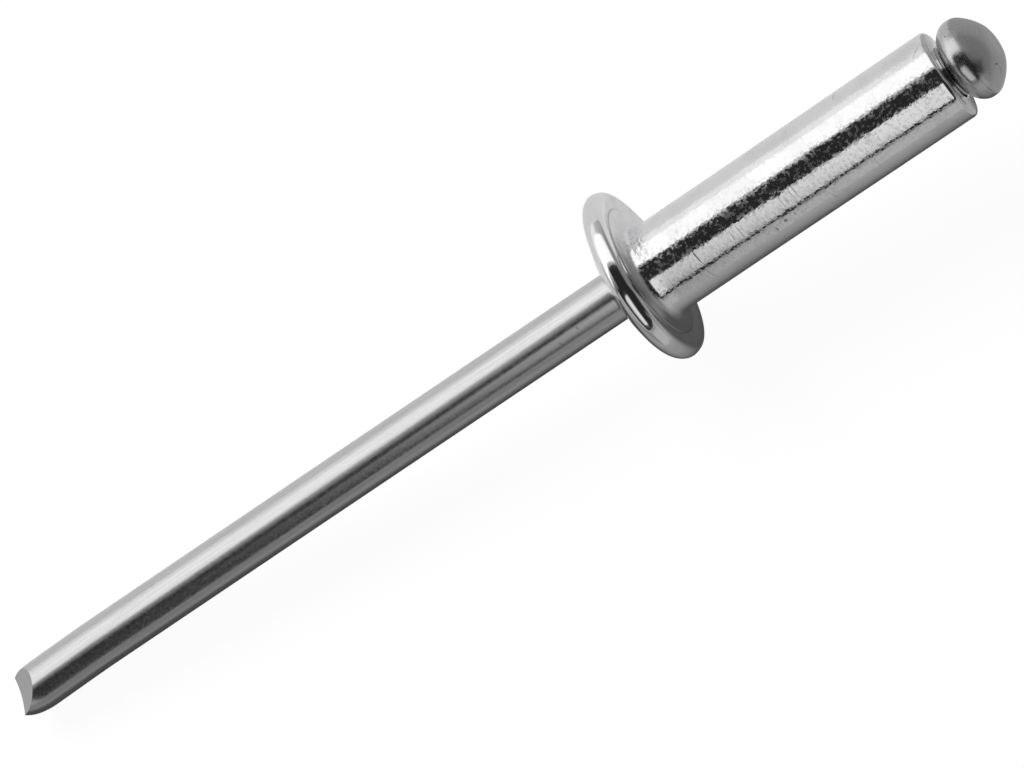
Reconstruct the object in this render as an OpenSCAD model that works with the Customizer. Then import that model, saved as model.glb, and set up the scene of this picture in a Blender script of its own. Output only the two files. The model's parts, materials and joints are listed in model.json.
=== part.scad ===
// Open-end blind rivet: a headed tube riding on its pulling mandrel, as it comes
// out of the box and before it is set.
//
// Each piece is drawn upright about the Z axis, with the bearing face of the flange
// at z = 0, the tube above it and the pulling end of the mandrel below it. The pair
// is then laid down on the plane Z = 0, where it rests on the rim of the flange and
// on the far end of the mandrel.

/* [Rivet body] */
// Outside diameter of the tube
tube_d = 3.2; // [2.7:0.1:4.8]
// Length of the tube, from the bearing face to its end
tube_len = 12.2; // [5:0.1:30]
// Rounding of the outer edge at the tube's end
tube_end_r = 0.17; // [0.05:0.01:0.3]
// Clearance between the bore and the mandrel, all round
bore_gap = 0.05; // [0.02:0.01:0.12]

/* [Flange] */
// Diameter of the flange
flange_d = 6.26; // [5.2:0.02:8]
// Height of the flange, from the bearing face to the flat round the bore
flange_h = 1.1; // [0.95:0.01:1.3]
// Width of the flat ring round the bore's mouth, where the dome stops
flat_w = 0.3; // [0.1:0.01:0.5]
// Radius that turns the dome down into the rim
rim_r = 0.55; // [0.3:0.01:0.7]
// Rounding between the rim and the bearing face
edge_r = 0.17; // [0.05:0.01:0.25]
// Width of the flat ring that bears on the work, inside the rounded edge
ring_w = 0.57; // [0.3:0.01:0.8]
// Depth of the relief
relief_depth = 0.05; // [0.02:0.01:0.1]
// Fillet between the relief and the tube
root_r = 0.2; // [0.05:0.01:0.3]
// Rounding of the bore's mouth in the dome
mouth_r = 0.12; // [0.05:0.01:0.2]

/* [Mandrel] */
// Diameter of the mandrel's shank
shank_d = 1.7; // [1.3:0.05:2]
// Length of shank beyond the bearing face, to the middle of the pinched edge
shank_out = 27.15; // [20:0.05:40]
// How far the head's widest part lies inside the tube's outside, all round
head_inset = 0.175; // [0.05:0.005:0.3]
// How much lower the head's dome is than a full half ball
dome_short = 0.25; // [0.1:0.005:0.4]
// Radius that turns the dome down into the widest part
head_brim_r = 0.675; // [0.5:0.005:0.9]
// Radius on the underside of the widest part
head_under_r = 0.3; // [0.15:0.01:0.35]
// Slope of the head's underside, from level
head_under_slope = 40; // [30:1:50]
// How far the neck laps onto the tube's end past the bore, all round
seat_lap = 0.1; // [0.05:0.01:0.2]
// Height of the neck
neck_h = 0.27; // [0.1:0.01:0.6]

/* [Break notches] */
// Distance from the tube's end down to the notches
notch_below = 1.4; // [0.8:0.1:3]
// Depth of each of the two notches
notch_depth = 0.25; // [0.1:0.01:0.35]
// Angle between a notch's two walls
notch_angle = 90; // [60:5:120]

/* [Pinched tip] */
// Angle between each facet and the mandrel's axis
facet_angle = 45; // [35:1:60]
// Lean of the pinched edge away from square
edge_skew = 6; // [0:1:25]
// Turn of the pinched edge about the mandrel's axis
edge_turn = -27; // [-90:1:90]
// Length over which the shank is drawn in beside the pinch
nose_len = 0.85; // [0.4:0.05:1.5]
// Radius of the drawn-in nose, along the mandrel
nose_r = 2.6; // [1.5:0.1:4]

/* [Hidden] */
$fn = 96;

tube_rad = tube_d / 2;
shank_rad = shank_d / 2;
bore_rad = shank_rad + bore_gap;
flange_rad = flange_d / 2;
relief_rad = flange_rad - edge_r - ring_w;
head_rad = tube_rad - head_inset;
head_dome_h = head_rad - dome_short;
neck_rad = bore_rad + seat_lap;

// Centres, in (radius, height), of the arcs in the flange's section
edge_c = [flange_rad - edge_r, -edge_r];
rim_c = [flange_rad - rim_r, -edge_r];
// The dome's arc is centred on the axis, passes the edge of the flat and runs into the
// rim's arc. With its centre at height y its radius is dome_a + dome_b * y, which leaves
// a quadratic for y.
flat_edge = [bore_rad + mouth_r + flat_w, -flange_h];
dome_a = (flat_edge * flat_edge - rim_c * rim_c + pow(rim_r, 2)) / (2 * rim_r);
dome_b = (rim_c.y - flat_edge.y) / rim_r;
half_b = dome_a * dome_b + flat_edge.y;
quad_a = pow(dome_b, 2) - 1;
quad_c = pow(dome_a, 2) - flat_edge * flat_edge;
dome_c = [0, (sqrt(pow(half_b, 2) - quad_a * quad_c) - half_b) / quad_a];
dome_r = dome_a + dome_b * dome_c.y;
dome_meets_rim = atan2(rim_c.y - dome_c.y, rim_c.x);

// Levels and arc centres in the mandrel head's section, up from the tube's end
under_c_rad = head_rad - head_under_r;
slope_end_rad = under_c_rad + head_under_r * sin(head_under_slope);
widest = neck_h + head_under_r * cos(head_under_slope)
       + (slope_end_rad - neck_rad) * tan(head_under_slope);
under_c = [under_c_rad, widest];
brim_c = [head_rad - head_brim_r, widest];
crown_rise = head_dome_h - head_brim_r;
crown_drop = (pow(brim_c.x, 2) - pow(crown_rise, 2)) / (2 * crown_rise);
crown_r = head_dome_h + crown_drop;
crown_c = [0, widest - crown_drop];
crown_meets_brim = atan2(crown_drop, brim_c.x);
head_top = tube_len + widest + head_dome_h;

nose_z = -shank_out + nose_len;

// Lying down: the angle at which the rim of the flange and the end of the shank
// both touch the plane, then how far the pair is lifted and moved along X
rest_rise = rim_c.x - shank_rad;
rest_span = rim_c.y - nose_z;
lie_angle = atan2(rest_rise, rest_span) + asin(rim_r / norm([rest_rise, rest_span]));
lift = rim_c.x * cos(lie_angle) - rim_c.y * sin(lie_angle) + rim_r;
far_end = shank_out + shank_rad * tan(edge_skew);
middle = (head_top - far_end) / 2;

// What rounding a corner takes away: all that lies outside a circle, between two
// directions from its centre that are under 180 degrees apart
module corner_cut(centre, radius, from, to) {
    reach = 3 * radius / cos((to - from) / 4);
    translate(centre) difference() {
        polygon([[0, 0], for (a = [from, (from + to) / 2, to]) reach * [cos(a), sin(a)]]);
        circle(radius);
    }
}

// Section of the flange, solid to the axis
module flange_section() {
    difference() {
        intersection() {
            translate([0, -flange_h]) square([flange_rad, flange_h]);
            translate(dome_c) circle(dome_r);
        }
        corner_cut(rim_c, rim_r, dome_meets_rim, 0);
        corner_cut(edge_c, edge_r, 0, 90);
        translate([0, -relief_depth]) square([relief_rad, 2 * relief_depth]);
    }
}

// Section of the tube, from inside the flange to its rounded end
module tube_section() {
    difference() {
        translate([0, -flange_h / 2]) square([tube_rad, tube_len + flange_h / 2]);
        corner_cut([tube_rad - tube_end_r, tube_len - tube_end_r], tube_end_r, 0, 90);
    }
}

// Fillet that carries the relief's floor up into the tube
module root_section() {
    difference() {
        translate([tube_rad - root_r, -relief_depth - root_r]) square(2 * root_r);
        translate([tube_rad + root_r, root_r - relief_depth]) circle(root_r);
    }
}

// Bore, with its rounded mouth in the flat of the dome
module bore_section() {
    mouth_c = [bore_rad + mouth_r, mouth_r - flange_h];
    translate([0, -2 * flange_h]) square([bore_rad, tube_len + 3 * flange_h]);
    difference() {
        translate([0, -2 * flange_h]) square([mouth_c.x, mouth_c.y + 2 * flange_h]);
        translate(mouth_c) circle(mouth_r);
    }
}

module body_section() {
    difference() {
        union() {
            flange_section();
            tube_section();
            root_section();
        }
        bore_section();
    }
}

module rivet_body() {
    color("gainsboro") laid() rotate_extrude() body_section();
}

// Section of the mandrel's head and of the neck that it seats on, up from the tube's end
module head_section() {
    slope_top = neck_h + (head_rad - neck_rad) * tan(head_under_slope);
    difference() {
        union() {
            square([neck_rad, 2 * neck_h]);
            polygon([[0, neck_h], [neck_rad, neck_h], [head_rad, slope_top],
                     [head_rad, widest], [0, widest]]);
            intersection() {
                translate(crown_c) circle(crown_r);
                translate([0, slope_top]) square([head_rad, 2 * head_dome_h]);
            }
        }
        corner_cut(under_c, head_under_r, head_under_slope - 90, 0);
        corner_cut(brim_c, head_brim_r, 0, crown_meets_brim);
    }
}

// Section of the shank, with the nose drawn in beyond nose_z
module shank_section() {
    nose_end = -shank_out - nose_len;
    translate([0, nose_z]) square([shank_rad, tube_len + neck_h / 2 - nose_z]);
    intersection() {
        translate([shank_rad - nose_r, nose_z]) circle(nose_r);
        translate([0, nose_end]) square([shank_rad, nose_z + shank_rad - nose_end]);
    }
}

// Wedge between the two facets, its edge through the origin and open towards +Z
module pinch_wedge() {
    reach = 3 * shank_d;
    top = head_top + shank_out;
    rotate([edge_skew, 0, edge_turn]) rotate([90, 0, 0])
        linear_extrude(height = 2 * top, center = true)
            polygon([[0, 0], [reach, reach / tan(facet_angle)], [reach, top],
                     [-reach, top], [-reach, reach / tan(facet_angle)]]);
}

// Two V notches, opposite each other across the shank, where it breaks when set
module break_notches() {
    reach = 2 * notch_depth;
    spread = reach * tan(notch_angle / 2);
    translate([0, 0, tube_len - notch_below]) for (turn = [0, 180])
        rotate([90, 0, turn]) linear_extrude(height = 2 * shank_d, center = true)
            translate([shank_rad - notch_depth, 0])
                polygon([[0, 0], [reach, spread], [reach, -spread]]);
}

module mandrel() {
    color("darkgray") laid() {
        translate([0, 0, tube_len]) rotate_extrude() head_section();
        difference() {
            intersection() {
                rotate_extrude() shank_section();
                translate([0, 0, -shank_out]) pinch_wedge();
            }
            break_notches();
        }
    }
}

module laid() {
    translate([-middle * cos(lie_angle), 0, lift]) rotate([0, 90 - lie_angle, 0]) children();
}

rivet_body();
mandrel();
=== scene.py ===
import json
import math

import bmesh
import bpy
from mathutils import Matrix, Vector


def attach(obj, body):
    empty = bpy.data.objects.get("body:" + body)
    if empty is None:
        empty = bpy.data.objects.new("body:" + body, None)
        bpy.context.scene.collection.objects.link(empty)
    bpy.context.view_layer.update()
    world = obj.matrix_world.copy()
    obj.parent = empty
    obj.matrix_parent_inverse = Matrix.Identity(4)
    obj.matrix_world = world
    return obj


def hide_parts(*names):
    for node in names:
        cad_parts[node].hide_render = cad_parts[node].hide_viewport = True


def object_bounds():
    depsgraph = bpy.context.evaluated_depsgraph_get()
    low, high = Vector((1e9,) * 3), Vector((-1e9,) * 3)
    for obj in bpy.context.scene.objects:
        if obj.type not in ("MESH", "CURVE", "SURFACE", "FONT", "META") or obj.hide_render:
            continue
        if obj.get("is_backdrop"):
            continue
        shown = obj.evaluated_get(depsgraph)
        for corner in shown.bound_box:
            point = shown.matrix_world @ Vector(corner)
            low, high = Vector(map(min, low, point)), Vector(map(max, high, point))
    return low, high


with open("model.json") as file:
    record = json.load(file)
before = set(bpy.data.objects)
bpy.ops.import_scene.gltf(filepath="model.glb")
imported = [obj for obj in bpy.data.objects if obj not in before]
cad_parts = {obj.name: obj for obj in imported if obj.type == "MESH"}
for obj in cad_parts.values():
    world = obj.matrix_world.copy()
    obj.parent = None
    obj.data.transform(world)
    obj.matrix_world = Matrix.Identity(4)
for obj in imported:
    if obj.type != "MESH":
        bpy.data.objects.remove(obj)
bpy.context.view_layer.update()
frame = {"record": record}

# the rivet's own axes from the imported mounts: z runs up the tube, x points down, y to the side
mounts = {m["name"]: m for m in frame["record"]["mounts"]}
seatPoint = Vector(mounts["under_flange"]["pos_m"])
alongAxis = Vector(mounts["under_flange"]["axis"]).normalized()
sideAxis = Vector((0, 1, 0))
downAxis = sideAxis.cross(alongAxis)
ownTurn = Matrix((downAxis, sideAxis, alongAxis)).transposed()
mmToFrame = Matrix.Translation(seatPoint) @ ownTurn.to_4x4() @ Matrix.Scale(0.001, 4)


class SectionPen:
    # draws half of a turned section; heading 0 points away from the axis, 90 up the tube
    def __init__(self, bm, radius, height, heading):
        self.bm = bm
        self.tip = bmesh.ops.create_vert(bm, co=(radius, 0, height))["vert"][0]
        self.heading = heading

    def direction(self, angle):
        return Vector((math.cos(math.radians(angle)), 0, math.sin(math.radians(angle))))

    def line(self, length, steps=1, ease=0.02):
        # a ring close to each end keeps the shading of the curves beside it true
        stops = [length * (i + 1) / steps for i in range(steps)]
        if length > 4 * ease:
            stops = [ease] + [s for s in stops if ease < s < length - ease] + [length - ease, length]
        start = self.tip.co.copy()
        for stop in stops:
            self.tip = bmesh.ops.extrude_vert_indiv(self.bm, verts=[self.tip])["verts"][0]
            self.tip.co = start + self.direction(self.heading) * stop

    def arc(self, radius, turn, steps):
        centre = self.tip.co + self.direction(self.heading + math.copysign(90, turn)) * radius
        made = bmesh.ops.spin(self.bm, geom=[self.tip], cent=centre, axis=(0, -1, 0),
                              angle=math.radians(turn), steps=steps)
        self.tip = [g for g in made["geom_last"] if isinstance(g, bmesh.types.BMVert)][0]
        self.heading += turn


def turnSection(bm, around):
    bmesh.ops.spin(bm, geom=bm.verts[:] + bm.edges[:], cent=(0, 0, 0), axis=(0, 0, 1),
                   angle=math.tau, steps=around, use_merge=True)
    bmesh.ops.remove_doubles(bm, verts=bm.verts, dist=0.0002)
    bmesh.ops.recalc_face_normals(bm, faces=bm.faces)


def finishPiece(bm, name, crease):
    for face in bm.faces:
        face.smooth = True
    for edge in bm.edges:
        edge.smooth = edge.calc_face_angle(0) < math.radians(crease)
    bm.transform(mmToFrame)
    mesh = bpy.data.meshes.new(name)
    bm.to_mesh(mesh)
    bm.free()
    piece = bpy.data.objects.new(name, mesh)
    bpy.context.scene.collection.objects.link(piece)
    print("made", name, len(mesh.polygons), "faces")
    return piece


def easeStep(low, high, value):
    t = min(max((value - low) / (high - low), 0), 1)
    return t * t * (3 - 2 * t)


# sizes of the headed tube in millimetres and degrees; an arc is (radius, heading at its end)
headedTube = {
    "around": 192,
    "boreRadius": 0.95,
    "mouthRound": 0.07,
    "flangeHeight": 1.10,
    "flatWidth": 0.30,
    "domeRadius": 7.4925,
    "domeTilt": (10.15, 21.92),
    "rimArcs": ((0.50, 67), (0.34, 97), (0.60, 119), (0.24, 150), (0.40, 171), (0.10, 180)),
    "dishArcs": ((0.25, 194), (0.05, 126), (0.04, 180)),
    "dishWidth": 0.335,
    "rootArcs": ((0.31, 98.5), (3.00, 90)),
    "rootReach": 0.3395,         # how far the root's arcs reach out from the tube
    "tubeRadius": 1.60,
    "tubeLength": 12.20,
    "tubeRings": 110,
    "endRound": 0.17,
    "boreRound": 0.03,
    "flangeBlend": (1.7, 2.4),   # the radii between which the flange's own lean takes over
    "flangeBelow": 0.5,
    "lean": (-0.0295, 0.0218, -0.0108),
    "grow": 0.0110,
    "flangeShift": 0.11,
    "tubeShift": -0.036,
    "endStretch": 0.06,
    "endSkew": 0.10,
    "endBlend": (11, 12),        # the heights over which the end is stretched
    "flare": 0.018,
    "flareBlend": (3, 11),
    "wallMiddle": 1.3,           # only what lies outside this radius is dented
    "dentPerDegree": 0.028,
    # height, angle from the top toward the far side, length, width, depth
    "dents": ((7.4, -7, 0.28, 0.20, 0.011),
              (7.1, -64, 0.35, 0.30, 0.008),
              (5.5, 3, 0.13, 0.12, 0.006),
              (9.9, 40, 0.20, 0.16, 0.006)),
}


def dentDepth(spec, x, y, z):
    depth = 0
    for height, angle, length, width, deep in spec["dents"]:
        across = (math.degrees(math.atan2(-y, -x)) - angle) * spec["dentPerDegree"] / width
        depth += deep * math.exp(-((z - height) / length) ** 2 - across ** 2)
    return depth


def makeHeadedTube(spec):
    bm = bmesh.new()
    pen = SectionPen(bm, spec["boreRadius"] + spec["mouthRound"], -spec["flangeHeight"], 0)
    pen.line(spec["flatWidth"])
    pen.heading = spec["domeTilt"][0]
    pen.arc(spec["domeRadius"], spec["domeTilt"][1] - spec["domeTilt"][0], steps=18)
    for radius, heading in spec["rimArcs"]:
        pen.arc(radius, heading - pen.heading, steps=14)
    # the bearing face is dished, with a small step up to the land around the tube
    for radius, heading in spec["dishArcs"]:
        pen.arc(radius, heading - pen.heading, steps=6)
        if heading > 180:
            pen.line(spec["dishWidth"], ease=0.01)
    pen.line(pen.tip.co.x - spec["tubeRadius"] - spec["rootReach"], steps=4)
    for radius, heading in spec["rootArcs"]:
        pen.arc(radius, heading - pen.heading, steps=12)
    pen.line(spec["tubeLength"] - spec["endRound"] - pen.tip.co.z, steps=spec["tubeRings"])
    pen.arc(spec["endRound"], 90, steps=12)
    pen.line(pen.tip.co.x - spec["boreRadius"] - spec["boreRound"])
    pen.arc(spec["boreRound"], 90, steps=4)
    pen.line(pen.tip.co.z + spec["flangeHeight"] - spec["mouthRound"], steps=12)
    pen.arc(spec["mouthRound"], 90, steps=8)
    turnSection(bm, spec["around"])
    # the head was set a little to one side of the tube, and leans
    for vert in bm.verts:
        x, y, z = vert.co
        outer = easeStep(*spec["flangeBlend"], math.hypot(x, y)) if z < spec["flangeBelow"] else 0
        vert.co.z += (spec["lean"][0] * x + spec["lean"][1] * y + spec["lean"][2] * x * y) * outer
        vert.co.xy *= 1 + spec["grow"] * outer
        # the far end flares by a hair, was cut a little askew, and carries shallow dents
        vert.co.xy *= 1 + spec["flare"] / spec["tubeRadius"] * easeStep(*spec["flareBlend"], z)
        vert.co.z += (spec["endStretch"] - spec["endSkew"] * x) * easeStep(*spec["endBlend"], z)
        if outer == 0 and math.hypot(x, y) > spec["wallMiddle"]:
            vert.co.xy *= 1 - dentDepth(spec, x, y, z) / spec["tubeRadius"]
        vert.co.y += spec["tubeShift"] + (spec["flangeShift"] - spec["tubeShift"]) * outer
    return finishPiece(bm, "headedTube", crease=35)


# sizes of the pulling mandrel; under arcs are (heading at the start, radius, turn), crown arcs (radius, turn)
pullMandrel = {
    "around": 128,
    "shankRadius": 0.862,
    "farEnd": -27.65,
    "noseFlat": 0.4616,
    "noseRadius": 3.20,
    "noseTurn": 28.97,
    "seatHeight": 12.20,
    "neckRadius": 0.91,
    "neckHeight": 0.225,
    "underArcs": ((5.0, 0.318, 15.0), (20.0, 0.72, 50.0), (70.0, 0.46, 20.0)),
    "crownArcs": ((1.10, 8.0), (0.50, 28.0), (1.944, 23.3), (0.783, 30.7)),
    "notchHeight": 10.80,
    "notchHalf": 0.60,           # what the notches leave, from the middle of the shank
    "notchReach": 0.5,
    "pinchPoint": (-0.11, 0.02, -27.09),
    "pinchAngles": (44, 36.6),
    "pinchSkew": 7.5,
    "pinchTurn": -26.6,
    "pinchHollow": 0.07,
    "hollowSpread": 1.25,        # how far past the edge's ends the hollow would run out
    "lean": 0.075,
    "leanLength": 25,
    "leanSlope": 1.55,
    "leanBow": 0.6,
    "endBend": 0.06,
    "bendBlend": (35.5, 39.5),   # distances below the seat
}


def makePullMandrel(spec):
    bm = bmesh.new()
    pen = SectionPen(bm, 0, spec["farEnd"], 0)
    pen.line(spec["noseFlat"])
    pen.heading = 90 - spec["noseTurn"]
    pen.arc(spec["noseRadius"], spec["noseTurn"], steps=16)
    pen.line(spec["notchHeight"] - spec["notchReach"] - pen.tip.co.z, steps=110)
    pen.line(2 * spec["notchReach"], steps=20)
    pen.line(spec["seatHeight"] - pen.tip.co.z, steps=3)
    pen.heading = 0
    pen.line(spec["neckRadius"] - spec["shankRadius"])
    pen.heading = 90
    pen.line(spec["neckHeight"], ease=0.015)
    for heading, radius, turn in spec["underArcs"]:
        pen.heading = heading
        pen.arc(radius, turn, steps=12)
    for radius, turn in spec["crownArcs"]:
        pen.arc(radius, turn, steps=14)
    pen.line(pen.tip.co.x, steps=2)
    pen.tip.co.x = 0
    turnSection(bm, spec["around"])
    # two notches opposite each other, where it breaks when the rivet is set
    for vert in bm.verts:
        away = abs(vert.co.z - spec["notchHeight"])
        limit = spec["notchHalf"] + away
        if away < spec["notchReach"] and abs(vert.co.x) > limit:
            vert.co.x = math.copysign(limit, vert.co.x)
    # the two cuts that pinch the far end to a skewed edge
    sheared = bm.faces.layers.float.new("sheared")
    turn = Matrix.Rotation(math.radians(spec["pinchTurn"]), 3, "Z")
    turn = turn @ Matrix.Rotation(math.radians(spec["pinchSkew"]), 3, "X")
    for hand, angle in zip((1, -1), map(math.radians, spec["pinchAngles"])):
        outward = turn @ Vector((hand * math.cos(angle), 0, -math.sin(angle)))
        cut = bmesh.ops.bisect_plane(bm, geom=bm.verts[:] + bm.edges[:] + bm.faces[:], dist=0.0001,
                                     plane_co=spec["pinchPoint"], plane_no=outward, clear_outer=True)
        rim = [g for g in cut["geom_cut"] if isinstance(g, bmesh.types.BMEdge)]
        face = bmesh.ops.contextual_create(bm, geom=rim)["faces"][0]
        face[sheared] = 1
    # the edge between the two cuts is a little hollow
    facets = [f for f in bm.faces if f[sheared] > 0.5]
    ridge = [e for e in facets[0].edges if e in facets[1].edges]
    made = bmesh.ops.subdivide_edges(bm, edges=ridge, cuts=9)
    inner = [g for g in made["geom_inner"] if isinstance(g, bmesh.types.BMVert)]
    reach = max((v.co - w.co).length for v in inner for w in inner) / 2
    middle = sum((v.co for v in inner), Vector()) / len(inner)
    for vert in inner:
        share = (vert.co - middle).length / (reach * spec["hollowSpread"])
        vert.co.z += spec["pinchHollow"] * (1 - share ** 2)
    bmesh.ops.triangulate(bm, faces=[f for f in bm.faces if f[sheared] > 0.5])
    bmesh.ops.recalc_face_normals(bm, faces=bm.faces)
    # it hangs a little to one side in the bore, is bowed by a hair, and its far end is bent back
    for vert in bm.verts:
        fall = spec["seatHeight"] - vert.co.z
        slope = spec["leanSlope"] * fall / spec["leanLength"]
        vert.co.y += spec["lean"] * (slope - spec["leanBow"] * (fall / spec["leanLength"]) ** 2)
        vert.co.y -= spec["endBend"] * easeStep(*spec["bendBlend"], fall)
    return finishPiece(bm, "pullMandrel", crease=35)


tubePiece = makeHeadedTube(headedTube)
mandrelPiece = makePullMandrel(pullMandrel)


class NodeDesk:
    # adds a material's nodes and joins them up
    def __init__(self, name):
        self.material = bpy.data.materials.new(name)
        self.material.use_nodes = True
        self.tree = self.material.node_tree
        self.tree.nodes.clear()

    def add(self, kind, **settings):
        made = self.tree.nodes.new(kind)
        for key, value in settings.items():
            setattr(made, key, value)
        return made

    def join(self, source, target):
        self.tree.links.new(source, target)

    def ownMillimetres(self):
        place = self.add("ShaderNodeMapping", vector_type="TEXTURE")
        place.inputs["Location"].default_value = seatPoint
        place.inputs["Rotation"].default_value = ownTurn.to_euler()
        place.inputs["Scale"].default_value = (0.001, 0.001, 0.001)
        self.join(self.add("ShaderNodeTexCoord").outputs["Object"], place.inputs["Vector"])
        return place.outputs["Vector"]

    def stretch(self, vector, scale):
        pull = self.add("ShaderNodeMapping")
        pull.inputs["Scale"].default_value = scale
        self.join(vector, pull.inputs["Vector"])
        return pull.outputs["Vector"]

    def grain(self, vector, scale, detail, rough):
        speck = self.add("ShaderNodeTexNoise")
        speck.inputs["Scale"].default_value = scale
        speck.inputs["Detail"].default_value = detail
        speck.inputs["Roughness"].default_value = rough
        self.join(vector, speck.inputs["Vector"])
        return speck.outputs["Fac"]

    def remap(self, value, low, high, outLow, outHigh):
        change = self.add("ShaderNodeMapRange")
        ends = {"From Min": low, "From Max": high, "To Min": outLow, "To Max": outHigh}
        for socket, number in ends.items():
            change.inputs[socket].default_value = number
        self.join(value, change.inputs["Value"])
        return change.outputs["Result"]

    def maths(self, operation, one, other):
        both = self.add("ShaderNodeMath", operation=operation)
        for socket, value in zip(both.inputs, (one, other)):
            if isinstance(value, (int, float)):
                socket.default_value = value
            else:
                self.join(value, socket)
        return both.outputs["Value"]

    def plus(self, one, other):
        return self.maths("ADD", one, other)

    def times(self, one, other):
        return self.maths("MULTIPLY", one, other)

    def power(self, value, exponent):
        return self.maths("POWER", value, exponent)

    def tint(self, share, below, above, blend="MIX"):
        # lays one colour over another by a share; a colour is (r, g, b) or a socket
        mixed = self.add("ShaderNodeMix", data_type="RGBA", blend_type=blend)
        self.join(share, mixed.inputs["Factor"])
        for socket, colour in ((mixed.inputs["A"], below), (mixed.inputs["B"], above)):
            if isinstance(colour, (tuple, list)):
                socket.default_value = (*colour, 1)
            else:
                self.join(colour, socket)
        return mixed.outputs["Result"]

    def complete(self, shader):
        out = self.add("ShaderNodeOutputMaterial")
        self.join(shader.outputs[0], out.inputs["Surface"])
        return self.material

    def marks(self, vector, marks, radius):
        # long thin ovals on a cylinder; a negative strength makes a raised one
        thickness = 0.2
        total = None
        for height, angle, across, along, tilt, strength in marks:
            turn = math.radians(angle)
            place = (-radius * math.cos(turn), -radius * math.sin(turn), height)
            spot = self.add("ShaderNodeMapping", vector_type="TEXTURE")
            spot.inputs["Location"].default_value = place
            spot.inputs["Rotation"].default_value = (math.radians(tilt), 0, math.pi + turn)
            spot.inputs["Scale"].default_value = (thickness, across, along)
            self.join(vector, spot.inputs["Vector"])
            away = self.add("ShaderNodeVectorMath", operation="LENGTH")
            self.join(spot.outputs["Vector"], away.inputs[0])
            mark = self.remap(away.outputs["Value"], 0.4, 1, strength, 0)
            total = mark if total is None else self.plus(total, mark)
        return total

    def bump(self, height, distance, below=None):
        relief = self.add("ShaderNodeBump")
        relief.inputs["Distance"].default_value = distance
        self.join(height, relief.inputs["Height"])
        if below is not None:
            self.join(below, relief.inputs["Normal"])
        return relief.outputs["Normal"]


aluminium = {
    "colour": (0.87, 0.87, 0.88),
    "smudged": 0.92,
    # darker tint of the bearing face: partly a duller die finish, partly painted shade for the shadowed floor
    # it reflects
    "faceDullAndPaintedShade": (0.88, 0.88, 0.88),
    # tone of the scratches and pits, also used for the painted shadow along the step
    "darkMarkTone": (0.16, 0.16, 0.16),
    "roughness": 0.075,
    "frosted": 0.19,
    "faceRoughness": 0.32,
    "fineScale": 8,
    "frostScale": 8.5,
    "smudgeScale": 1.1,
    "drawnScale": (1.2, 1.2, 22),
    "grainHeight": 0.0000047,
    "drawnHeight": 0.0000010,
    "markDepth": 0.000003,
    "calmShare": 0.2,            # how much grain is left on the flange and the tube's end
    # where each zone begins and ends: squared distances from the axis, then heights
    "flangeFrom": (3.1, 3.6),
    "faceWithin": (8.1, 8.8),
    "faceAbove": (-0.3, -0.1),
    "faceBelow": (0.16, 0.24),
    "endFrom": (12.15, 12.25),
    "step": 5.62,
    # painted shadow of the step around the land, darkening the bearing face beside it
    "stepShadow": (0.05, 0.25, 0.4),   # full within the first, gone past the second, strength
    # scratches and pits: height, angle from the top, half width, half length, tilt, strength
    "marks": ((2.1, 13.0, 0.37, 0.03, 3, 0.9),
              (2.1, 43.5, 0.45, 0.024, 12, 0.35),
              (2.09, -5.0, 0.23, 0.034, -3, -0.5),
              (3.79, 14.5, 0.34, 0.027, 2, 0.45),
              (3.5, 16.9, 0.27, 0.024, -3, 0.35),
              (5.52, 5.8, 0.13, 0.152, 0, 0.5),
              (5.53, 15.7, 0.31, 0.03, 0, 0.35),
              (5.95, 12.2, 0.34, 0.027, 3, 0.4),
              (6.1, 8.7, 0.6, 0.034, 2, 0.5),
              (5.69, 16.9, 0.21, 0.074, 0, 0.3),
              (4.8, 42.2, 0.14, 0.04, 0, 0.7),
              (5.22, 38.6, 0.09, 0.088, 0, 0.8),
              (5.62, 37.5, 0.1, 0.04, 0, 0.5),
              (2.69, 38.9, 0.21, 0.024, 10, 0.3),
              (0.63, 13.9, 0.07, 0.074, 0, 0.3),
              (10.88, 28.0, 0.13, 0.024, 50, -0.9),
              (11.41, 14.5, 0.2, 0.027, 3, 0.3),
              (8.7, -67.3, 0.25, 0.067, 0, 0.25),
              (1.98, -25.2, 0.11, 0.101, 0, 0.2),
              (6.99, 46.7, 0.38, 0.027, 14, 0.25),
              (8.86, 43.5, 0.32, 0.027, -5, 0.2),
              (11.95, -46.4, 0.43, 0.034, -38, 0.3)),
}


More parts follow.
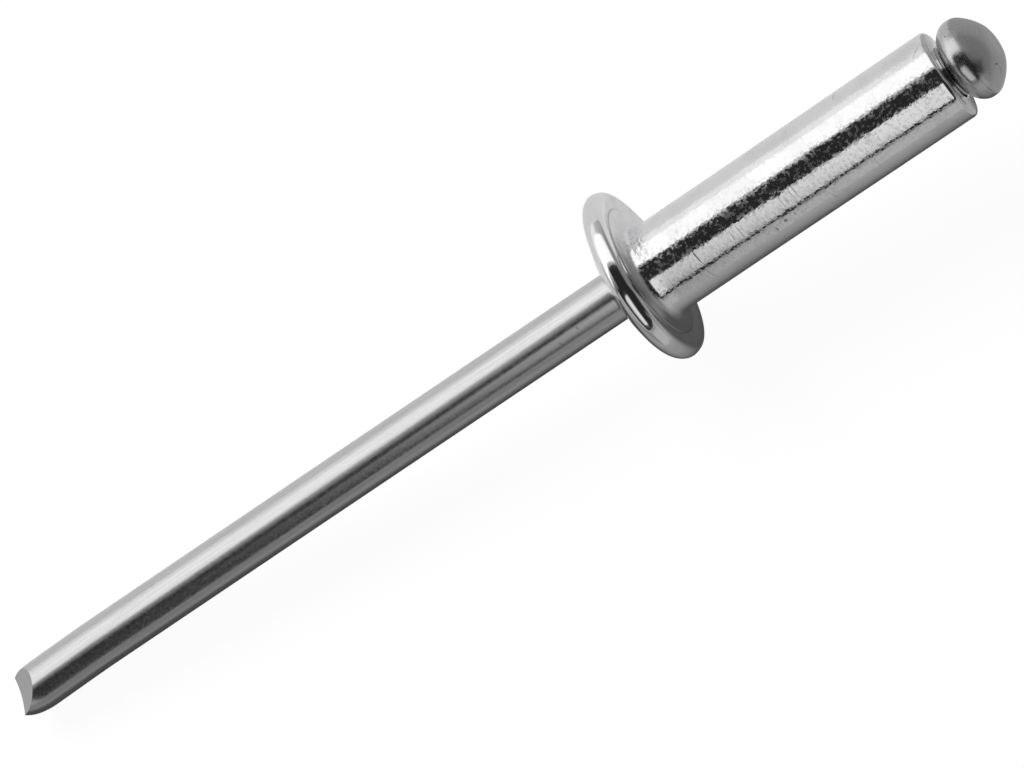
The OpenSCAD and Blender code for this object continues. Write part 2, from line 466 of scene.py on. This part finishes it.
def aluminiumFinish(spec):
    desk = NodeDesk("drawnAluminium")
    metal = desk.add("ShaderNodeBsdfPrincipled")
    metal.inputs["Metallic"].default_value = 1
    own = desk.ownMillimetres()
    fine = desk.grain(own, spec["fineScale"], 1, 0.5)
    drawn = desk.grain(desk.stretch(own, spec["drawnScale"]), 1.0, 3, 0.6)
    smudge = desk.grain(own, spec["smudgeScale"], 4, 0.6)
    smudged = [c * spec["smudged"] for c in spec["colour"]]
    colour = desk.tint(desk.remap(smudge, 0.35, 0.55, 0, 1), smudged, spec["colour"])
    # zones are told apart by height, and by the squared distance from the flange's own axis
    apart = desk.add("ShaderNodeSeparateXYZ")
    desk.join(own, apart.inputs[0])
    height = apart.outputs["Z"]
    aside = desk.plus(apart.outputs["Y"], -headedTube["flangeShift"])
    reach = desk.plus(desk.power(apart.outputs["X"], 2), desk.power(aside, 2))
    # the bearing face behind the flange came off its die duller and rougher than the rest; its darker colour
    # is partly that finish and partly painted shade for the shadowed floor it reflects
    onFace = desk.remap(reach, *spec["faceWithin"], 1, 0)
    onFace = desk.times(onFace, desk.remap(height, *spec["faceAbove"], 0, 1))
    onFace = desk.times(onFace, desk.remap(height, *spec["faceBelow"], 1, 0))
    colour = desk.tint(onFace, colour, spec["faceDullAndPaintedShade"], "MULTIPLY")
    # the scratches and pits are drawn dark; the face is also darkened along the step around the land, a
    # painted shadow of the step
    darkMarks = desk.marks(own, spec["marks"], headedTube["tubeRadius"])
    fromStep = desk.power(desk.power(desk.plus(reach, -spec["step"]), 2), 0.5)
    darkMarks = desk.plus(darkMarks, desk.times(desk.remap(fromStep, *spec["stepShadow"], 0), onFace))
    colour = desk.tint(darkMarks, colour, spec["darkMarkTone"])
    desk.join(colour, metal.inputs["Base Color"])
    # the flange and the tube's end are smoother than the drawn wall
    grainy = desk.remap(reach, *spec["flangeFrom"], 1, spec["calmShare"])
    grainy = desk.times(grainy, desk.remap(height, *spec["endFrom"], 1, spec["calmShare"]))
    rough = desk.remap(smudge, 0.3, 0.7, spec["roughness"] * 1.4, spec["roughness"] * 0.8)
    frost = desk.remap(desk.grain(own, spec["frostScale"], 1, 0.5), 0.45, 0.62, 0, spec["frosted"])
    rough = desk.plus(rough, desk.times(frost, grainy))
    rough = desk.plus(rough, desk.times(onFace, spec["faceRoughness"] - spec["roughness"]))
    desk.join(rough, metal.inputs["Roughness"])
    relief = desk.bump(desk.times(fine, grainy), spec["grainHeight"])
    relief = desk.bump(drawn, spec["drawnHeight"], relief)
    relief = desk.bump(desk.times(darkMarks, -1), spec["markDepth"], relief)
    desk.join(relief, metal.inputs["Normal"])
    return desk.complete(metal)


steel = {
    "colour": (0.68, 0.68, 0.685),
    "cloudShades": (0.92, 1.05),
    "lineShare": 0.70,
    "fineShare": 0.30,
    "darkMarkTone": (0.10, 0.10, 0.10),
    # darker tone of the sheared faces, partly a duller cut surface and partly painted shade for the shadowed
    # floor they reflect; the head takes a share of it
    "tornAndShadowTone": (0.70, 0.70, 0.70),
    "headShare": 0.35,           # how much of the torn shade lies on the head
    "roughness": 0.23,
    "headRoughness": 0.24,
    "fineScale": 11,
    "lineScale": (16, 16, 0.5),
    "hammerScale": 2.2,
    "hammerHeight": 0.000012,
    "lineHeight": 0.0000006,
    "headLines": 0.1,            # how much of the drawn lines is left on the head
    "grainHeight": 0.0000003,
    "markDepth": 0.000002,
    "headFrom": (12.3, 12.5),
    # parting line, nicks and stains: height, angle from the top, half width, half length, tilt, strength
    "headRadius": 1.38,
    "headMarks": ((13.24, 33, 0.36, 0.018, 0, 0.55),
                  (13.24, 58, 0.40, 0.020, 0, 0.75),
                  (13.05, 40, 0.45, 0.016, 3, 0.30),
                  (13.72, 26, 0.14, 0.030, -38, 0.6),
                  (13.02, -46, 0.07, 0.06, 0, 0.6)),
    "crownRadius": 0.95,
    "crownMarks": ((13.85, 43.6, 0.10, 0.03, 20, 0.7),
                   (13.80, 62, 0.16, 0.02, -30, 0.5),
                   (13.95, 8, 0.03, 0.08, 0, 0.3)),
    "shankRadius": 0.86,
    "shankMarks": ((-2.9, 8, 0.09, 0.05, 0, 0.3),
                   (-3.7, 16, 0.10, 0.03, 20, 0.3),
                   (-11.3, -4, 0.03, 0.30, 0, 0.25),
                   (-19.0, 6, 0.04, 0.12, 0, 0.35),
                   (-22.1, 30, 0.03, 0.2, 0, 0.25)),
}


def steelFinish(spec):
    desk = NodeDesk("satinSteel")
    metal = desk.add("ShaderNodeBsdfPrincipled")
    metal.inputs["Metallic"].default_value = 1
    own = desk.ownMillimetres()
    fine = desk.grain(own, spec["fineScale"], 1, 0.5)
    lines = desk.grain(desk.stretch(own, spec["lineScale"]), 1.0, 3, 0.6)
    cloudy = desk.plus(desk.times(lines, spec["lineShare"]), desk.times(fine, spec["fineShare"]))
    dark, light = ([c * shade for c in spec["colour"]] for shade in spec["cloudShades"])
    colour = desk.tint(desk.remap(cloudy, 0.35, 0.65, 0, 1), dark, light)
    headScars = desk.marks(own, spec["headMarks"], spec["headRadius"])
    shankScars = desk.marks(own, spec["shankMarks"], spec["shankRadius"])
    crownScars = desk.marks(own, spec["crownMarks"], spec["crownRadius"])
    darkMarks = desk.plus(desk.plus(headScars, shankScars), crownScars)
    colour = desk.tint(darkMarks, colour, spec["darkMarkTone"])
    # the upset head is a little hammered and a shade darker than the drawn shank
    apart = desk.add("ShaderNodeSeparateXYZ")
    desk.join(own, apart.inputs[0])
    onHead = desk.remap(apart.outputs["Z"], *spec["headFrom"], 0, 1)
    # the sheared faces of the far end are darker: partly a duller cut surface, partly painted shade for the
    # shadowed floor they reflect near the tip
    sheared = desk.add("ShaderNodeAttribute", attribute_name="sheared").outputs["Fac"]
    tornAndShadow = desk.plus(sheared, desk.times(onHead, spec["headShare"]))
    desk.join(desk.tint(tornAndShadow, colour, spec["tornAndShadowTone"], "MULTIPLY"), metal.inputs["Base Color"])
    rough = desk.remap(onHead, 0, 1, spec["roughness"], spec["headRoughness"])
    rough = desk.times(rough, desk.remap(fine, 0.3, 0.7, 0.85, 1.15))
    desk.join(rough, metal.inputs["Roughness"])
    hammered = desk.times(desk.grain(own, spec["hammerScale"], 1, 0.5), onHead)
    lines = desk.times(lines, desk.remap(onHead, 0, 1, 1, spec["headLines"]))
    relief = desk.bump(hammered, spec["hammerHeight"])
    relief = desk.bump(lines, spec["lineHeight"], relief)
    relief = desk.bump(fine, spec["grainHeight"], relief)
    relief = desk.bump(desk.times(darkMarks, -1), spec["markDepth"], relief)
    desk.join(relief, metal.inputs["Normal"])
    return desk.complete(metal)


tubePiece.data.materials.append(aluminiumFinish(aluminium))
mandrelPiece.data.materials.append(steelFinish(steel))
for piece, node, slotName in ((tubePiece, "rivet_body", "body"), (mandrelPiece, "mandrel", "mandrel")):
    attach(piece, "root")
    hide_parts(node)
print("metals on")


# strengths as shares of white, sizes in metres, the key lamp's power in watts
studio = {
    "floorHalf": 1.5,
    "floorGap": 0.000002,
    "floorColour": (0.80, 0.80, 0.80),
    "openWhite": 1.06,
    "cameraShare": 0.90,
    "glossyShare": 0.03,
    "worldGrey": 0.36,
    "worldFill": 0.09,
    "keyPlace": (-0.02, 0.55, 0.40),
    "keySize": 0.42,
    "keyPower": 6.1,
}


def shareOfRays(desk, cameraShare, glossyShare):
    # how much of the plain white each kind of ray sees
    path = desk.add("ShaderNodeLightPath")
    seen = desk.plus(path.outputs["Is Camera Ray"], path.outputs["Is Transmission Ray"])
    mirrored = desk.times(path.outputs["Is Glossy Ray"], glossyShare)
    return desk.plus(desk.times(seen, cameraShare), mirrored)


def makeFloor(spec):
    bm = bmesh.new()
    bmesh.ops.create_grid(bm, x_segments=1, y_segments=1, size=spec["floorHalf"])
    bmesh.ops.translate(bm, verts=bm.verts, vec=(0, 0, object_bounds()[0].z - spec["floorGap"]))
    mesh = bpy.data.meshes.new("studioFloor")
    bm.to_mesh(mesh)
    bm.free()
    floor = bpy.data.objects.new("studioFloor", mesh)
    bpy.context.scene.collection.objects.link(floor)
    desk = NodeDesk("paleFloor")
    plain = desk.add("ShaderNodeBsdfDiffuse")
    plain.inputs["Color"].default_value = list(spec["floorColour"]) + [1]
    white = desk.add("ShaderNodeEmission")
    white.inputs["Strength"].default_value = spec["openWhite"]
    blend = desk.add("ShaderNodeMixShader")
    desk.join(shareOfRays(desk, spec["cameraShare"], spec["glossyShare"]), blend.inputs[0])
    desk.join(plain.outputs[0], blend.inputs[1])
    desk.join(white.outputs[0], blend.inputs[2])
    mesh.materials.append(desk.complete(blend))
    floor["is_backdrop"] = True


# cards seen only in the metal: corners as (along the rivet, to the side, above it) in millimetres,
# stops as (place along the card's axis, glow)
cards = {
    "darkCeiling": {
        "corners": ((-170, 42, 75), (170, 42, 75), (170, -140, 75), (-170, -140, 75)),
        "stops": ((-170, 0.45), (-98, 0.40), (-84, 0.02), (170, 0.02)),
    },
    "rightPanel": {
        "corners": ((-60, -20, 60), (-26, -13, 60), (-19, -10, 60), (15, -10, 60), (15, -80, 60),
                    (-60, -80, 60)),
        "stops": ((-60, 0.01), (-42, 0.04), (-33, 0.16), (-24, 0.48), (-8, 0.80), (5, 0.84), (13, 0.05)),
    },
    "leftPanel": {
        "corners": ((-90, 2.5, 25), (-36, 9.4, 25), (-5, 16.2, 25), (160, 16.2, 25), (160, 60, 16),
                    (-90, 60, 16)),
        "stops": ((-90, 0.50), (-64, 0.66), (-49, 1.12), (-10, 1.18), (14, 1.12), (25, 0.95), (31, 0.45),
                  (55, 0.30), (100, 0.22)),
    },
    "leftWall": {
        "corners": ((-160, 61, 16), (160, 61, 16), (160, 61, -3), (-160, 61, -3)),
        "stops": ((-160, 0.90), (-6, 0.90), (6, 0.52), (26, 0.42), (60, 0.30), (160, 0.25)),
    },
    "endCard": {
        "along": "X",
        "corners": ((75, 90, -10), (75, 90, 75), (75, -90, 75), (75, -90, -10)),
        "stops": ((-75, 0.10), (-50, 0.17), (-22, 0.22), (10, 0.25)),
    },
    "endDark": {
        "along": "X",
        "corners": ((74.5, -4, 75), (74.5, -16, 15), (74.5, -50, 15), (74.5, -70, 75)),
        "stops": ((-75, 0.02), (-45, 0.02), (-15, 0.06)),
    },
    "frontFloor": {
        "corners": ((12.5, 90, -4.19), (12.5, -90, -4.19), (75, -90, -9.63), (75, 90, -9.63)),
        "stops": ((12.5, 0.40), (40, 0.32), (75, 0.28)),
    },
    "leftFringe": {
        "along": "Y",
        "corners": ((-90, 0, 25), (-9, 2, 25), (-9, 15.4, 25), (-36, 9.4, 25), (-90, 2.5, 25)),
        "stops": ((0, 0.10), (5, 0.20), (10, 0.42), (15.4, 0.75)),
    },
    "rightWall": {
        "corners": ((-160, -60, 26.8), (160, -60, 26.8), (160, -60, -3), (-160, -60, -3)),
        "stops": ((-160, 0.24), (-24, 0.24), (-12, 0.45), (30, 0.45), (60, 0.36)),
    },
    # a painted shadow: a dark sheet just above the floor, seen only in the metal and darkest beside the part,
    # in place of the floor's shadow beside and under the rivet
    "paintedFloorShadow": {
        "along": "Y",
        "corners": ((-160, -1.0, 10.9), (12.5, -1.0, -4.19), (12.5, -60, -4.19), (-160, -60, 10.9)),
        "stops": ((-60, 0.36), (-20, 0.34), (-9.6, 0.28), (-6, 0.20), (-4, 0.09), (-1, 0.07)),
    },
}
brightest = 2   # a ramp's colours stop at 1, so a card's glow is written as a share of this


def makeCard(name, spec):
    bm = bmesh.new()
    upAxis = -downAxis
    for along, aside, above in spec["corners"]:
        bm.verts.new(seatPoint + (alongAxis * along + sideAxis * aside + upAxis * above) * 0.001)
    bmesh.ops.contextual_create(bm, geom=bm.verts[:])
    mesh = bpy.data.meshes.new(name)
    bm.to_mesh(mesh)
    bm.free()
    card = bpy.data.objects.new(name, mesh)
    bpy.context.scene.collection.objects.link(card)
    desk = NodeDesk(name)
    apart = desk.add("ShaderNodeSeparateXYZ")
    desk.join(desk.ownMillimetres(), apart.inputs[0])
    stops = spec["stops"]
    first, last = stops[0][0], stops[-1][0]
    ramp = desk.add("ShaderNodeValToRGB")
    while len(ramp.color_ramp.elements) < len(stops):
        ramp.color_ramp.elements.new(0.5)
    for element, (place, glow) in zip(ramp.color_ramp.elements, stops):
        element.position = (place - first) / (last - first)
        element.color = (glow / brightest, glow / brightest, glow / brightest, 1)
    desk.join(desk.remap(apart.outputs[spec.get("along", "Z")], first, last, 0, 1), ramp.inputs[0])
    light = desk.add("ShaderNodeEmission")
    light.inputs["Strength"].default_value = brightest
    desk.join(ramp.outputs["Color"], light.inputs["Color"])
    mesh.materials.append(desk.complete(light))
    card.visible_camera = False
    card.visible_diffuse = False
    card.visible_shadow = False
    card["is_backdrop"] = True


def makeLamp(name, place, size, power):
    light = bpy.data.lights.new(name, "AREA")
    light.shape = "SQUARE"
    light.size = size
    light.energy = power
    lamp = bpy.data.objects.new(name, light)
    bpy.context.scene.collection.objects.link(lamp)
    lamp.location = place
    lamp.rotation_euler = (Vector(place) - seatPoint).to_track_quat("Z", "Y").to_euler()
    lamp.visible_camera = False
    lamp.visible_glossy = False


def makeWorld(spec):
    # plain white for the camera, grey in the metal, and a faint fill on everything else
    world = bpy.data.worlds.new("plainRoom")
    bpy.context.scene.world = world
    world.use_nodes = True
    tree = world.node_tree
    tree.nodes.clear()
    path = tree.nodes.new("ShaderNodeLightPath")
    grey = tree.nodes.new("ShaderNodeBackground")
    grey.inputs["Color"].default_value = (1, 1, 1, 1)
    white = tree.nodes.new("ShaderNodeBackground")
    white.inputs["Color"].default_value = (1, 1, 1, 1)
    level = tree.nodes.new("ShaderNodeMapRange")
    level.inputs["To Min"].default_value = spec["worldFill"]
    level.inputs["To Max"].default_value = spec["worldGrey"]
    tree.links.new(path.outputs["Is Glossy Ray"], level.inputs["Value"])
    tree.links.new(level.outputs["Result"], grey.inputs["Strength"])
    seen = tree.nodes.new("ShaderNodeMath")
    tree.links.new(path.outputs["Is Camera Ray"], seen.inputs[0])
    tree.links.new(path.outputs["Is Transmission Ray"], seen.inputs[1])
    blend = tree.nodes.new("ShaderNodeMixShader")
    tree.links.new(seen.outputs[0], blend.inputs[0])
    tree.links.new(grey.outputs[0], blend.inputs[1])
    tree.links.new(white.outputs[0], blend.inputs[2])
    out = tree.nodes.new("ShaderNodeOutputWorld")
    tree.links.new(blend.outputs[0], out.inputs["Surface"])


makeFloor(studio)
for cardName, cardSpec in cards.items():
    makeCard(cardName, cardSpec)
makeLamp("softKey", studio["keyPlace"], studio["keySize"], studio["keyPower"])
makeWorld(studio)
print("studio set")


# the camera's place in degrees and millimetres, seen from the flange's face
cameraSetup = {
    "lens": 264.27,
    "sensor": 36.0,
    "height": 77.4929,
    "roll": 34.0188,
    "away": 247.27,
    "seatRight": 4.5687,
    "seatUp": 3.6244,
}


def makeCamera(spec):
    # it stands off the flange's face, and turns until that face lies right of and above the middle
    raised = math.radians(spec["height"])
    back = Vector((math.cos(raised), 0, math.sin(raised)))
    level = (alongAxis - back * alongAxis.dot(back)).normalized()
    upright = back.cross(level)
    roll = math.radians(spec["roll"])
    right = level * math.cos(roll) - upright * math.sin(roll)
    up = level * math.sin(roll) + upright * math.cos(roll)
    towardSeat = right * spec["seatRight"] + up * spec["seatUp"] - back * spec["away"]
    look = Matrix((right, up, back)).transposed()
    look = towardSeat.rotation_difference(-back).to_matrix() @ look
    lens = bpy.data.cameras.new("frontCamera")
    lens.lens = spec["lens"]
    lens.sensor_width = spec["sensor"]
    lens.clip_start = 0.01
    lens.clip_end = 20
    camera = bpy.data.objects.new("frontCamera", lens)
    bpy.context.scene.collection.objects.link(camera)
    place = seatPoint + back * towardSeat.length * 0.001
    camera.matrix_world = Matrix.Translation(place) @ look.to_4x4()
    bpy.context.scene.camera = camera


makeCamera(cameraSetup)
bpy.context.scene.view_settings.view_transform = "Standard"
print("camera set")
